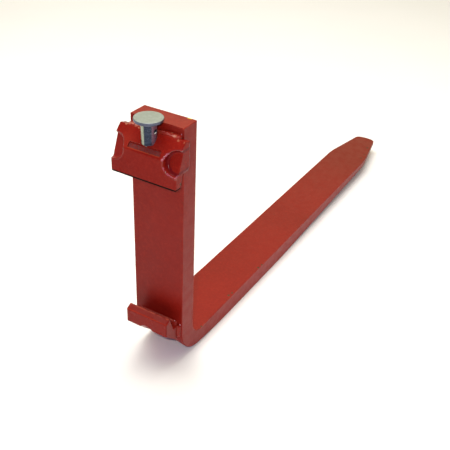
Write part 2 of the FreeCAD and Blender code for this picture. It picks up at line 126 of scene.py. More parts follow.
# Drops of weld spatter, each a point and its half sizes.
SPATTER = (
    ((0.0502, -0.5412, 0.5027), (1.3 * MM, 1.0 * MM, 2.3 * MM)),
    ((0.0397, -0.5443, 0.1030), (1.6 * MM, 1.2 * MM, 1.2 * MM)),
    ((0.0520, -0.5440, 0.0979), (1.4 * MM, 1.3 * MM, 1.4 * MM)),
    ((-0.0180, -0.5412, 0.4370), (0.9 * MM, 0.7 * MM, 0.9 * MM)),
)
DROP_RINGS = 7
DROP_SIDES = 12
DROP_UNEVEN = 0.15
DROP_WAVES = 1.7
DROP_SHIFT = 3.0

# Lock spring.
SPRING_COILS = 5
SPRING_WIRE_R = 0.8 * MM
COIL_STEPS = 40
WIRE_SIDES = 10

# Paint and what shows through it, as screen values.
PAINT_RED = (135, 25, 17)
PAINT_DARK = (120, 19, 12)
PAINT_LIGHT = (150, 36, 22)
RUBBED_PAINT = (196, 84, 62)
CHIP_DARK = (50, 42, 26)
CHIP_LIGHT = (82, 74, 52)

# Marks on the arm, as screen values.
TIP_TONE = (116, 25, 9)
# Sheen painted paler on the blade's sides towards the tip.
SIDE_SHEEN_TONE = (152, 50, 44)
SMEAR_TONE = (74, 38, 16)
YELLOW_TONE = (205, 172, 30)

# Marks on the upper hook and the weld beads, as screen values.
# Pool of light painted on the left of the upper hook's slope.
SLOPE_LIGHT_TONE = (137, 36, 25)
# Mottled grey shade painted into the sunken field.
FIELD_SHADE_TONE = (98, 58, 58)
# Highlight painted along the sunken field's lower edge.
FIELD_LIP_HIGHLIGHT = (168, 62, 34)
# Shade painted on the right recess's wall.
RECESS_SHADE_TONE = (84, 9, 20)
# Light painted inside the left recess.
LEFT_RECESS_LIGHT_TONE = (146, 48, 44)
# Pale orange highlights painted on the top weld bead and the hook's top edge.
BEAD_HIGHLIGHT_TONE = (166, 94, 70)
# Shadow painted near black on the upper hook's lower edge.
UNDER_LIP_SHADE = (14, 4, 3)
# Highlights painted pale pink on the right recess's rim.
RIM_HIGHLIGHT_TONE = (226, 140, 172)

# Marks on the lower hook, as screen values.
# Darker red painted on the lower hook's lip top as shade.
LIP_TOP_SHADE = (134, 24, 14)
# Worn paint and a painted highlight along the lower lip's front.
LIP_STREAK_WEAR_AND_HIGHLIGHT = (176, 52, 30)
# Worn paint and a painted highlight along the lower lip's ridge.
LIP_RIDGE_WEAR_AND_HIGHLIGHT = (184, 82, 60)
# Shade painted darker on the lower hook's end faces.
LOWER_END_SHADE = (92, 12, 8)

# Zinc plating of the knob, as screen values: pale on the top, with the rim and sleeve painted dark as shade.
TOP_DARK = (130, 138, 134)
TOP_LIGHT = (146, 153, 148)
TOP_STAIN = (142, 142, 122)
RIM_DARK = (82, 86, 108)
RIM_LIGHT = (108, 112, 132)
SLEEVE_DARK = (40, 46, 64)
SLEEVE_LIGHT = (62, 70, 90)
SLEEVE_FLECK = (112, 120, 140)
# The shank's red reflection painted purplish down one side of the sleeve.
RED_REFLECTION_TONE = (116, 84, 100)
# Bright reflections painted in streaks down the sleeve.
STREAK_REFLECTION_TONE = (160, 170, 154)
# Highlight painted under the sleeve's cross hole.
HOLE_HIGHLIGHT_TONE = (236, 232, 220)
SIDE_STAIN = (60, 58, 64)

# Bare steel of the small parts, as screen values, and how much darker its oil film is.
PIN_TONE = (168, 170, 174)
BUSH_TONE = (140, 140, 142)
SPRING_TONE = (120, 120, 126)
# Pale pink painted on the spatter drops as highlights.
SPATTER_HIGHLIGHT_TONE = (226, 156, 172)
OIL_FILM = 0.72

# Widths over which the edge of a mark fades, and how far wear reaches from an edge.
SHARP = 0.3 * MM
FIRM = 0.4 * MM
SOFT = 0.5 * MM
HAZY = 1.5 * MM
EDGE_REACH = 4 * MM
SPOT_RAGGED = 4.5 * MM

# Chips in the blade's paint and specks of other paint, each a point and a radius.
DECK_Z = 40 * MM
BLADE_CHIPS = (
    ((0.0540, -0.4673, DECK_Z), 2.0 * MM),
    ((0.0482, -0.3470, DECK_Z), 2.7 * MM),
    ((0.0501, -0.3355, DECK_Z), 2.3 * MM),
    ((0.0521, -0.2200, DECK_Z), 2.7 * MM),
    ((0.0539, -0.2050, DECK_Z), 2.2 * MM),
    ((-0.0525, -0.1000, DECK_Z), 1.2 * MM),
    ((-0.0530, 0.1900, DECK_Z), 1.5 * MM),
)
TIP_SMEARS = (
    ((0.0399, 0.4462, DECK_Z), 3.6 * MM),
    ((0.0399, 0.4735, DECK_Z), 2.6 * MM),
    ((0.0304, 0.5223, DECK_Z), 4.2 * MM),
)
YELLOW_SPECKS = (
    ((0.0385, -0.5028, 0.516), 1.5 * MM),
    ((0.0410, -0.5025, 0.516), 1.8 * MM),
    ((0.0435, -0.5022, 0.516), 1.3 * MM),
)
# Highlights painted on the top bead's ragged toe and the upper hook's top edge, each a point and a radius.
BEAD_HIGHLIGHTS = (
    ((-0.0533, -0.5541, 0.5015), 3.0 * MM),
    ((-0.0485, -0.5507, 0.5015), 3.0 * MM),
    ((-0.0430, -0.5482, 0.5015), 3.5 * MM),
    ((-0.0342, -0.5516, 0.5015), 3.0 * MM),
    ((-0.0260, -0.5554, 0.5015), 2.5 * MM),
    ((0.0341, -0.5439, 0.5015), 3.0 * MM),
    ((0.0428, -0.5493, 0.5015), 3.5 * MM),
    ((0.0537, -0.5566, 0.5005), 2.5 * MM),
    ((0.0660, -0.5571, 0.5000), 2.0 * MM),
)
HOOK_CHIPS = (
    ((0.0675, -0.5680, 0.4282), 2.2 * MM),
    ((0.0675, -0.5665, 0.4262), 1.6 * MM),
)

# Centres of two wide marks: the darker paint at the blade's tip and a pool of light painted on the left of
# the hook's slope.
TIP_CENTRE = (0.0, 0.53, DECK_Z)
SLOPE_LIGHT_CENTRE = (-0.041, -0.5745, 0.481)

# Round recesses of the upper hook: axis and radius at the front face, and where highlights are painted pale
# on the rim.
RECESS_X = UPPER_HIGH.x - 4.5 * MM
RECESS_Z = UPPER_LOW.z + 48.0 * MM
RECESS_R = 22.3 * MM
RIM_HIGHLIGHT_HEIGHTS = ((445 * MM, 458 * MM), (469 * MM, 481 * MM))

# Sunken field on the upper hook's slope: its half width, and its ends behind the front face.
FIELD_HALF = 33.0 * MM
FIELD_START = UPPER_LOW.y + 2.8 * MM
FIELD_END = UPPER_LOW.y + 10.3 * MM
FIELD_LIP = 0.9 * MM

# Streaks down the knob's sleeve: bright ones and a hazy red one, all painted reflections. Each is its
# direction about the pin and half its spread in degrees, and STREAK_SOFT is how far its edges fade to each
# side.
REFLECTION_STREAKS = ((244.0, 23.0), (128.0, 9.0))
RED_REFLECTION_STREAKS = ((357.0, 30.0),)
STREAK_SOFT = 8


def colour(screen):
    """Linear colour from red, green and blue screen values of 0 to 255."""
    parts = []
    for value in screen:
        share = value / 255
        parts.append(share / 12.92 if share <= 0.04045 else ((share + 0.055) / 1.055) ** 2.4)
    return (*parts, 1.0)


class Nodes:
    """A node tree, with short names for the node types used here."""

    def __init__(self, tree, coordinates):
        self.tree = tree
        self.place = self.add("ShaderNodeTexCoord").outputs[coordinates]

    def add(self, kind, **settings):
        """New node with the given settings."""
        node = self.tree.nodes.new(kind)
        for key, value in settings.items():
            setattr(node, key, value)
        return node

    def plug(self, value, socket):
        """Feed a socket from another node's output or with a fixed value."""
        if isinstance(value, bpy.types.NodeSocket):
            self.tree.links.new(value, socket)
        else:
            socket.default_value = value

    def math(self, operation, a, b=0.0):
        """Result of one operation on two values."""
        node = self.add("ShaderNodeMath", operation=operation)
        self.plug(a, node.inputs[0])
        self.plug(b, node.inputs[1])
        return node.outputs[0]

    def times(self, a, b):
        """Product of two values."""
        return self.math("MULTIPLY", a, b)

    def most(self, a, b):
        """Larger of two values."""
        return self.math("MAXIMUM", a, b)

    def noise(self, scale, detail=4.0, roughness=0.55, place=None):
        """Cloudy noise from about 0 to 1."""
        node = self.add("ShaderNodeTexNoise")
        self.plug(place or self.place, node.inputs["Vector"])
        node.inputs["Scale"].default_value = scale
        node.inputs["Detail"].default_value = detail
        node.inputs["Roughness"].default_value = roughness
        return node.outputs["Fac"]

    def step(self, value, low, high, start=0.0, end=1.0):
        """Smooth step of a value, from start at low to end at high."""
        node = self.add("ShaderNodeMapRange", interpolation_type="SMOOTHSTEP")
        self.plug(value, node.inputs["Value"])
        node.inputs["From Min"].default_value = low
        node.inputs["From Max"].default_value = high
        node.inputs["To Min"].default_value = start
        node.inputs["To Max"].default_value = end
        return node.outputs["Result"]

    def band(self, value, low, high, soft):
        """Share of 1 where a value lies from low to high, with soft edges."""
        above = self.step(value, low - soft, low + soft)
        below = self.step(value, high + soft, high - soft)
        return self.times(above, below)

    def mix(self, share, first, second):
        """First colour at share 0 and second at share 1."""
        node = self.add("ShaderNodeMix", data_type="RGBA")
        self.plug(share, node.inputs[0])
        self.plug(first, node.inputs[6])
        self.plug(second, node.inputs[7])
        return node.outputs[2]

    def scaled(self, x, y, z):
        """Place with each axis stretched."""
        node = self.add("ShaderNodeVectorMath", operation="MULTIPLY")
        self.plug(self.place, node.inputs[0])
        node.inputs[1].default_value = (x, y, z)
        return node.outputs[0]

    def axis(self, letter):
        """One coordinate of the place."""
        node = self.add("ShaderNodeSeparateXYZ")
        self.plug(self.place, node.inputs[0])
        return node.outputs[letter]

    def facing(self, direction, way):
        """Cosine of the angle between a direction and a fixed way."""
        node = self.add("ShaderNodeVectorMath", operation="DOT_PRODUCT")
        self.plug(direction, node.inputs[0])
        node.inputs[1].default_value = way
        return node.outputs["Value"]

    def distance_to(self, point, place=None):
        """Distance from a point."""
        node = self.add("ShaderNodeVectorMath", operation="DISTANCE")
        self.plug(place or self.place, node.inputs[0])
        node.inputs[1].default_value = point
        return node.outputs["Value"]

    def distance_across(self, x, z):
        """Distance from the line along y through (x, z)."""
        return self.distance_to((x, 0.0, z), place=self.scaled(1.0, 0.0, 1.0))


class Surface(Nodes):
    """A material's nodes. Its edge is the share of outer edges, once a material has set it."""

    def __init__(self, name):
        self.material = bpy.data.materials.new(name)
        self.material.use_nodes = True
        super().__init__(self.material.node_tree, "Object")
        self.shader = self.tree.nodes["Principled BSDF"]
        self.edge = None

    def shade(self, name, value):
        """Set one of the shader's inputs."""
        self.plug(value, self.shader.inputs[name])

    def bump(self, height, distance, normal=None):
        """Normal of a relief, laid over another normal if one is given."""
        node = self.add("ShaderNodeBump")
        self.plug(height, node.inputs["Height"])
        node.inputs["Distance"].default_value = distance
        if normal is not None:
            self.plug(normal, node.inputs["Normal"])
        return node.outputs["Normal"]

    def edges(self, reach):
        """Share from 0 on open faces to 1 on outer edges and corners."""
        node = self.add("ShaderNodeAmbientOcclusion", inside=True, only_local=True, samples=8)
        node.inputs["Distance"].default_value = reach
        return self.step(node.outputs["AO"], 0.93, 0.6)

    def streaks(self, places):
        """Share from 0 to 1 in upright streaks around the lock knob, given as (angle, spread) in degrees."""
        normal = self.add("ShaderNodeTexCoord").outputs["Normal"]
        widest = None
        for angle, spread in places:
            turn = math.radians(angle)
            facing = self.facing(normal, (math.cos(turn), math.sin(turn), 0.0))
            outer = math.cos(math.radians(spread + STREAK_SOFT))
            inner = math.cos(math.radians(spread - STREAK_SOFT))
            share = self.step(facing, outer, inner)
            widest = share if widest is None else self.most(widest, share)
        return widest

    def spots(self, places):
        """Share from 0 to 1 inside the ragged spots given as (point, radius)."""
        ragged = self.times(self.math("SUBTRACT", self.noise(900, detail=3.0), 0.5), SPOT_RAGGED)
        nearest = None
        for point, radius in places:
            reach = self.math("SUBTRACT", self.distance_to(point), radius)
            nearest = reach if nearest is None else self.math("MINIMUM", nearest, reach)
        return self.step(self.math("ADD", nearest, ragged), SHARP, -SHARP)


def paint_tone(nodes, marks):
    """Cloudy red with pale and dark flecks, then rubbed edges, then the marks over them."""
    cloud = nodes.noise(5.0, detail=5.0)
    flecks = nodes.noise(180.0, detail=5.0, roughness=0.7)
    fine = nodes.noise(330.0, detail=4.0, roughness=0.7)
    tone = nodes.mix(nodes.step(cloud, 0.35, 0.68, 0.2, 0.8), colour(PAINT_DARK), colour(PAINT_RED))
    tone = nodes.mix(nodes.step(flecks, 0.44, 0.66, end=0.4), tone, colour(PAINT_LIGHT))
    tone = nodes.mix(nodes.step(fine, 0.50, 0.66, end=0.6), tone, colour(PAINT_DARK))
    rubbed = nodes.step(nodes.noise(30.0, detail=6.0, roughness=0.7), 0.45, 0.8)
    rub = nodes.times(nodes.edge, rubbed)
    tone = nodes.mix(nodes.times(rub, 0.5), tone, colour(RUBBED_PAINT))
    for mask, strength, shade in marks:
        tone = nodes.mix(nodes.times(mask(nodes), strength), tone, colour(shade))
    return tone


def bare_share(nodes, chips):
    """Share of 1 where the paint is gone: nicks along the edges, and the chips."""
    nicked = nodes.step(nodes.noise(140.0, detail=4.0, roughness=0.65), 0.66, 0.70)
    nick = nodes.times(nodes.edge, nicked)
    return nodes.most(nick, nodes.spots(chips)) if chips else nick


def painted_steel(name, gloss, grain, gleam=0.14, chips=(), marks=(), cast=None, shine=None, dull=None):
    """Red paint on forged steel: cloudy tone, fine grain, worn edges and chips down to dark metal.

    Each mark is a mask, its strength and its tone. The cast mask leaves a floor as rough as it was cast,
    the shine mask gives edges that were rubbed smooth, and the dull mask gives a least roughness.
    """
    nodes = Surface(name)
    nodes.edge = nodes.edges(EDGE_REACH)
    bare = bare_share(nodes, chips)
    metal = nodes.mix(nodes.noise(300.0), colour(CHIP_DARK), colour(CHIP_LIGHT))
    nodes.shade("Base Color", nodes.mix(bare, paint_tone(nodes, marks), metal))

    mottle = nodes.noise(55.0, detail=4.0)
    rough = nodes.step(mottle, 0.3, 0.75, gloss - 0.05, gloss + 0.09)
    rough = nodes.most(rough, nodes.times(bare, 0.62))
    if dull:
        rough = nodes.most(rough, dull(nodes))
    nodes.shade("Roughness", rough)
    nodes.shade("Specular IOR Level", gleam)
    if shine:
        nodes.shade("Coat Weight", shine(nodes))
        nodes.shade("Coat Roughness", 0.14)
        nodes.shade("Coat IOR", 1.9)

    forged = nodes.bump(nodes.noise(28.0, detail=3.0), grain * 1.2 * MM)
    surface = nodes.bump(nodes.noise(420.0, detail=2.0), grain * 0.12 * MM, forged)
    if cast:
        pits = nodes.times(cast(nodes), nodes.noise(620.0, detail=3.0, roughness=0.7))
        surface = nodes.bump(pits, 1.1 * MM, surface)
    nodes.shade("Normal", nodes.bump(nodes.math("SUBTRACT", 1.0, bare), 0.12 * MM, surface))
    return nodes.material


def at_spots(places):
    """Mask of ragged spots."""
    return lambda nodes: nodes.spots(places)


def around(point, inner, outer):
    """Mask that is whole within one radius of a point and gone at another."""
    return lambda nodes: nodes.step(nodes.distance_to(point), outer, inner)


def blade_side_sheen(nodes):
    """The blade's two sides, painted paler towards the tip as a sheen."""
    away = nodes.math("ABSOLUTE", nodes.axis("X"))
    side = nodes.step(away, ARM_HIGH.x - 1.5 * MM, ARM_HIGH.x - 0.5 * MM)
    return nodes.times(side, nodes.step(nodes.axis("Y"), -0.5, -0.25))


def field_floor(nodes):
    """The sunken field's floor."""
    across = nodes.band(nodes.axis("X"), -FIELD_HALF, FIELD_HALF, FIRM)
    return nodes.times(across, nodes.band(nodes.axis("Y"), FIELD_START, FIELD_END, SHARP))


def field_shade(nodes):
    """Mottled grey shade painted into the sunken field."""
    return nodes.times(field_floor(nodes), nodes.step(nodes.noise(520.0, detail=3.0), 0.32, 0.6))


def field_lip_highlight(nodes):
    """Pale line painted along the lower edge of the sunken field as a highlight."""
    across = nodes.band(nodes.axis("X"), -FIELD_HALF, FIELD_HALF, FIRM)
    return nodes.times(across, nodes.band(nodes.axis("Y"), FIELD_START - FIELD_LIP, FIELD_START, SHARP))


def recess_rims(nodes):
    """Rims of the upper hook's two round recesses."""
    rims = []
    for side in (-1, 1):
        away = nodes.distance_across(side * RECESS_X, RECESS_Z)
        rims.append(nodes.band(away, RECESS_R - 2.5 * MM, RECESS_R + 4.0 * MM, SOFT))
    return nodes.times(nodes.edge, nodes.most(*rims))


def recess_wall_shade(nodes):
    """Shade painted dark on the wall of the right recess."""
    away = nodes.distance_across(RECESS_X, RECESS_Z)
    return nodes.band(away, RECESS_R - 6.0 * MM, RECESS_R - 1.0 * MM, SOFT)


def left_recess_light(nodes):
    """Inside of the left recess, painted paler as light falling on it."""
    away = nodes.distance_across(-RECESS_X, RECESS_Z)
    return nodes.step(away, RECESS_R, RECESS_R - HAZY)


def rim_highlight(nodes):
    """Two arcs of the right recess's rim, painted pale pink as highlights."""
    height = nodes.axis("Z")
    arcs = [nodes.band(height, low, high, HAZY) for low, high in RIM_HIGHLIGHT_HEIGHTS]
    right = nodes.step(nodes.axis("X"), 0.0, 10 * MM)
    # The patchy pale arcs on the right recess are painted highlights.
    rubbed = nodes.times(nodes.step(nodes.noise(260.0, detail=2.0), 0.35, 0.5), right)
    return nodes.times(nodes.most(*arcs), nodes.times(rubbed, recess_rims(nodes)))


def bead_gloss(nodes):
    """Faint gloss on the crests of the weld beads."""
    return nodes.times(nodes.edge, 0.12)


def under_lip_shade(nodes):
    """Rounded lower edge of the upper hook, painted near black as shade, since no light reaches it from
    above.
    """
    return nodes.step(nodes.axis("Z"), UPPER_LOW.z + 4.0 * MM, UPPER_LOW.z + 3.2 * MM)


def lip_streak_wear_and_highlight(nodes):
    """Pale streak along the front of the lower hook's lip: worn paint and a painted highlight."""
    low = LOWER_HIGH.z - 6.4 * MM
    worn = nodes.step(nodes.noise(45.0, detail=3.0), 0.3, 0.55)
    return nodes.times(worn, nodes.band(nodes.axis("Z"), low, low + 1.2 * MM, SHARP))


def lip_ridge_wear_and_highlight(nodes):
    """Pale line along the ridge of the lower hook's lip: worn paint and a painted highlight."""
    worn = nodes.step(nodes.noise(70.0, detail=2.0), 0.42, 0.56)
    ridge = nodes.step(nodes.axis("Z"), LOWER_HIGH.z - 0.9 * MM, LOWER_HIGH.z - 0.4 * MM)
    return nodes.times(worn, ridge)


def lip_top_shade(nodes):
    """Sloping top of the lower hook's lip, painted a darker, plainer red as shade."""
    return nodes.step(nodes.axis("Z"), LOWER_HIGH.z - 8.0 * MM, LOWER_HIGH.z - 6.6 * MM)


def lower_ends(nodes):
    """End faces of the lower hook."""
    away = nodes.math("ABSOLUTE", nodes.axis("X"))
    return nodes.step(away, LOWER_HIGH.x - 1.6 * MM, LOWER_HIGH.x - 0.4 * MM)


def dull_ends(nodes):
    """Least roughness of the lower hook's end faces."""
    return nodes.times(lower_ends(nodes), 0.36)


def arm_paint():
    """Paint of the arm: darker at the tip, with a painted sheen on the sides, smears and yellow specks."""
    marks = (
        (around(TIP_CENTRE, 20 * MM, 420 * MM), 0.7, TIP_TONE),
        (blade_side_sheen, 0.6, SIDE_SHEEN_TONE),
        (at_spots(TIP_SMEARS), 0.75, SMEAR_TONE),
        (at_spots(YELLOW_SPECKS), 1.0, YELLOW_TONE),
    )
    return painted_steel("arm_paint", 0.40, 0.5, chips=BLADE_CHIPS, marks=marks)


def upper_paint():
    """Glossier paint of the upper hook, with painted light, shade and highlights on its slope, field,
    recesses and edges.
    """
    marks = (
        (around(SLOPE_LIGHT_CENTRE, 4 * MM, 30 * MM), 0.8, SLOPE_LIGHT_TONE),
        (field_shade, 0.75, FIELD_SHADE_TONE),
        (field_lip_highlight, 0.7, FIELD_LIP_HIGHLIGHT),
        (recess_wall_shade, 0.6, RECESS_SHADE_TONE),
        (left_recess_light, 0.4, LEFT_RECESS_LIGHT_TONE),
        (at_spots(BEAD_HIGHLIGHTS), 0.8, BEAD_HIGHLIGHT_TONE),
        (under_lip_shade, 1.0, UNDER_LIP_SHADE),
        (rim_highlight, 0.75, RIM_HIGHLIGHT_TONE),
    )
    return painted_steel("upper_paint", 0.18, 1.0, gleam=0.09, chips=HOOK_CHIPS, marks=marks,
                         cast=field_floor, shine=recess_rims, dull=under_lip_shade)


def lower_paint():
    """Paint of the lower hook: painted shade on its lip's top and ends, worn paint with painted highlights
    along its lip, and dull ends.
    """
    marks = (
        (lip_top_shade, 0.75, LIP_TOP_SHADE),
        (lip_streak_wear_and_highlight, 0.7, LIP_STREAK_WEAR_AND_HIGHLIGHT),
        (lip_ridge_wear_and_highlight, 0.6, LIP_RIDGE_WEAR_AND_HIGHLIGHT),
        # The end faces are painted darker as shade.
        (lower_ends, 0.35, LOWER_END_SHADE),
    )
    return painted_steel("lower_paint", 0.22, 1.0, gleam=0.12, marks=marks, dull=dull_ends)


def weld_paint():
    """Paint of the weld beads, with highlights painted on the top one."""
    marks = ((at_spots(BEAD_HIGHLIGHTS), 0.6, BEAD_HIGHLIGHT_TONE),)
    return painted_steel("weld_paint", 0.32, 1.6, shine=bead_gloss, marks=marks)


def sleeve_tone(nodes, turned, red_reflection, hole_glint):
    """Sleeve painted blue-black as shade, with bright flecks, painted reflections down one side and in
    streaks, and a painted highlight under the hole.
    """
    tone = nodes.mix(nodes.step(turned, 0.3, 0.7), colour(SLEEVE_DARK), colour(SLEEVE_LIGHT))
    flecks = nodes.noise(420.0, detail=3.0, roughness=0.7)
    tone = nodes.mix(nodes.step(flecks, 0.54, 0.68, end=0.35), tone, colour(SLEEVE_FLECK))
    tone = nodes.mix(red_reflection, tone, colour(RED_REFLECTION_TONE))
    tone = nodes.mix(nodes.streaks(REFLECTION_STREAKS), tone, colour(STREAK_REFLECTION_TONE))
    return nodes.mix(hole_glint, tone, colour(HOLE_HIGHLIGHT_TONE))


def top_tone(nodes, mottle):
    """Dull, scuffed and stained top of the knob."""
    tone = nodes.mix(nodes.step(mottle, 0.35, 0.75), colour(TOP_DARK), colour(TOP_LIGHT))
    stain = nodes.step(nodes.noise(35.0, detail=4.0), 0.45, 0.75, end=0.5)
    return nodes.mix(stain, tone, colour(TOP_STAIN))


def hole_highlight(nodes, height):
    """Bright crescent painted under the hole through the sleeve as a highlight."""
    away = nodes.distance_to((KNOB_HOLE_X, PIN_Y, KNOB_HOLE_Z))
    below = nodes.step(height, KNOB_HOLE_Z - 1.2 * MM, KNOB_HOLE_Z - 2.6 * MM)
    return nodes.times(nodes.band(away, 3.2 * MM, 4.1 * MM, SHARP), below)


def zinc(name):
    """Zinc plating: dull, scuffed and pale on the knob's top, painted blue-black as shade on the rim and
    sleeve, with painted reflection streaks.
    """
    nodes = Surface(name)
    height = nodes.axis("Z")
    top = nodes.step(height, KNOB_HIGH.z - 1.0 * MM, KNOB_HIGH.z - 0.2 * MM)
    rim = nodes.step(height, KNOB_HIGH.z - 6.4 * MM, KNOB_HIGH.z - 5.8 * MM)
    mottle = nodes.noise(160.0, detail=5.0, roughness=0.65)
    turned = nodes.noise(60.0, detail=4.0, place=nodes.scaled(1.0, 1.0, 9.0))
    hole_glint = hole_highlight(nodes, height)
    red_reflection = nodes.times(nodes.streaks(RED_REFLECTION_STREAKS), nodes.math("SUBTRACT", 1.0, rim))
    edge = nodes.mix(nodes.step(turned, 0.3, 0.7), colour(RIM_DARK), colour(RIM_LIGHT))
    side = nodes.mix(rim, sleeve_tone(nodes, turned, red_reflection, hole_glint), edge)
    side = nodes.mix(nodes.step(mottle, 0.5, 0.8, end=0.5), side, colour(SIDE_STAIN))
    nodes.shade("Base Color", nodes.mix(top, side, top_tone(nodes, mottle)))

    plain = nodes.most(nodes.times(top, 0.35), nodes.times(red_reflection, 0.75))
    plain = nodes.most(plain, nodes.times(hole_glint, 0.9))
    nodes.shade("Metallic", nodes.math("SUBTRACT", 0.95, plain))
    dull = nodes.times(top, 0.16)
    nodes.shade("Roughness", nodes.math("ADD", nodes.step(mottle, 0.3, 0.7, 0.24, 0.38), dull))
    nodes.shade("Normal", nodes.bump(turned, 0.06 * MM, nodes.bump(mottle, 0.04 * MM)))
    return nodes.material


def bare_steel(name, shade, gloss):
    """Plain machined steel with an oil film and fine turning marks."""
    nodes = Surface(name)
    film = nodes.noise(90.0, detail=4.0)
    marks = nodes.noise(200.0, detail=3.0, place=nodes.scaled(0.3, 0.3, 6.0))
    dark = colour([value * OIL_FILM for value in shade])
    nodes.shade("Base Color", nodes.mix(nodes.step(film, 0.35, 0.7), colour(shade), dark))
    nodes.shade("Metallic", 1.0)
    nodes.shade("Roughness", nodes.step(film, 0.3, 0.7, gloss, gloss + 0.15))
    nodes.shade("Normal", nodes.bump(marks, 0.05 * MM))
    return nodes.material


def repaint(node, material):
    """Give a solid of the frame its material."""
    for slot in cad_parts[node].material_slots:
        slot.material = material


def mesh_piece(name, points, faces, material, body):
    """New smooth-shaded piece that rides on a body."""
    mesh = bpy.data.meshes.new(name)
    mesh.from_pydata(points, [], faces)
    mesh.shade_smooth()
    mesh.materials.append(material)
    piece = bpy.data.objects.new(name, mesh)
    bpy.context.scene.collection.objects.link(piece)
    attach(piece, body)
    return piece


def bead_ring(t, length, section, swell, seed):
    """Points of one ring at share t of a bead's length: the rippled arch from toe to toe, then the root."""
    run = t * length
    toe_a, toe_b, root = section(t)
    near_end = min(1.0, min(run, length - run) / BEAD_END)
    full = math.sqrt(1.0 - (1.0 - near_end) ** 2)
    width = BEAD_END_WIDTH + (1 - BEAD_END_WIDTH) * full
    toes = []
    for toe, layer in ((toe_a, 0.0), (toe_b, 5.0)):
        wander = TOE_WANDER * noise.noise(Vector((run * TOE_WAVES, seed, layer))) - TOE_INSET
        toes.append(root + (toe - root) * (1 + wander) * width)
    outward = ((toes[0] + toes[1]) / 2 - root).normalized()
    jitter = RIPPLE_JITTER * noise.noise(Vector((run * JITTER_WAVES, seed, 9.0)))
    points = []
    for j in range(POINTS_ACROSS + 1):
        s = j / POINTS_ACROSS
        arch = 4 * s * (1 - s)
        phase = (run - RIPPLE_BOW * arch) / RIPPLE_PITCH + jitter
        ripple = RIPPLE_HEIGHT * abs(math.sin(math.pi * phase))
        lump = LUMP_HEIGHT * noise.noise(Vector((run * LUMP_WAVES, s * 2.2, seed)))
        relief = (ripple + lump) * min(1.0, 2.2 * arch)
        lift = full * (swell * arch ** 0.8 + relief) - TOE_SINK
        points.append(toes[0].lerp(toes[1], s) + outward * lift)
    points.append(root - outward * TOE_SINK)
    return points


def weld_bead(name, node, length, section, swell, seed, material):
    """Rippled bead. section(t) gives its two toes and its root at share t of its length."""
    steps = round(length / RING_STEP)
    ring = POINTS_ACROSS + 2
    points, faces = [], []
    for i in range(steps + 1):
        points += bead_ring(i / steps, length, section, swell, seed)
    for i in range(steps):
        for j in range(ring):
            k = (j + 1) % ring
            faces.append((i * ring + j, i * ring + k, (i + 1) * ring + k, (i + 1) * ring + j))
    faces.append(tuple(reversed(range(ring))))
    faces.append(tuple(range(steps * ring, (steps + 1) * ring)))
    piece = mesh_piece(name, points, faces, material, "fork")
    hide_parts(node)
    return piece


def top_weld_section(t):
    """Across the bevel above the upper hook, kept clear of the lock knob's sleeve."""
    x = TOP_WELD_LOW.x + (TOP_WELD_HIGH.x - TOP_WELD_LOW.x) * t
    root = Vector((x, SHANK_BACK, TOP_WELD_LOW.z))
    front = TOP_WELD_LOW.y
    if abs(x) < SLEEVE_ROOM:
        front = max(front, PIN_Y + math.sqrt(SLEEVE_ROOM ** 2 - x * x))
    depth = (SHANK_BACK - front) / (SHANK_BACK - TOP_WELD_LOW.y)
    front_height = (UPPER_HIGH.z - TOP_WELD_LOW.z) * depth
    back_height = (TOP_WELD_HIGH.z - TOP_WELD_LOW.z) * (0.4 + 0.6 * depth)
    toe_a = Vector((x, front, TOP_WELD_LOW.z + front_height))
    toe_b = Vector((x, SHANK_BACK, TOP_WELD_LOW.z + back_height))
    return toe_a, toe_b, root


def throat_weld_section(t):
    """Across the corner between the shank and the ceiling of the upper hook's throat."""
    x = THROAT_WELD_LOW.x + (THROAT_WELD_HIGH.x - THROAT_WELD_LOW.x) * t
    root = Vector((x, SHANK_BACK - 1.2 * MM, THROAT_WELD_HIGH.z - 1.2 * MM))
    toe_a = Vector((x, THROAT_WELD_LOW.y - 1.6 * MM, THROAT_WELD_LOW.z + 0.4 * MM))
    toe_b = Vector((x, SHANK_BACK, THROAT_WELD_LOW.z + 1.0 * MM))
    return toe_a, toe_b, root


def side_weld_section(side):
    """Across the corner between the shank's side and the end of the upper hook, on one side."""
    def section(t):
        z = SIDE_WELD_LOW.z + (SIDE_WELD_HIGH.z - SIDE_WELD_LOW.z) * t
        root = Vector((side * ARM_HIGH.x, SHANK_BACK, z))
        toe_a = Vector((side * SIDE_WELD_HIGH.x, SHANK_BACK, z))
        toe_b = Vector((side * ARM_HIGH.x, SIDE_WELD_HIGH.y, z))
        return toe_a, toe_b, root
    return section


def groove_weld_section(t):
    """Across the bottom of the groove behind the lower hook's lip."""
    x = GROOVE_WELD_LOW.x + (GROOVE_WELD_HIGH.x - GROOVE_WELD_LOW.x) * t
    root = Vector((x, SHANK_BACK, GROOVE_WELD_LOW.z))
    toe_a = Vector((x, GROOVE_WELD_LOW.y, root.z))
    toe_b = Vector((x, SHANK_BACK, GROOVE_WELD_HIGH.z))
    return toe_a, toe_b, root


def heel_weld_section(t):
    """Across the corner between the lower hook's underside and the heel."""
    x = HEEL_WELD_LOW.x + (HEEL_WELD_HIGH.x - HEEL_WELD_LOW.x) * t
    root = Vector((x, SHANK_BACK, LOWER_LOW.z + 8 * MM))
    toe_a = Vector((x, HEEL_WELD_LOW.y, LOWER_LOW.z))
    toe_b = Vector((x, HEEL_WELD_HIGH.y, HEEL_WELD_LOW.z))
    return toe_a, toe_b, root


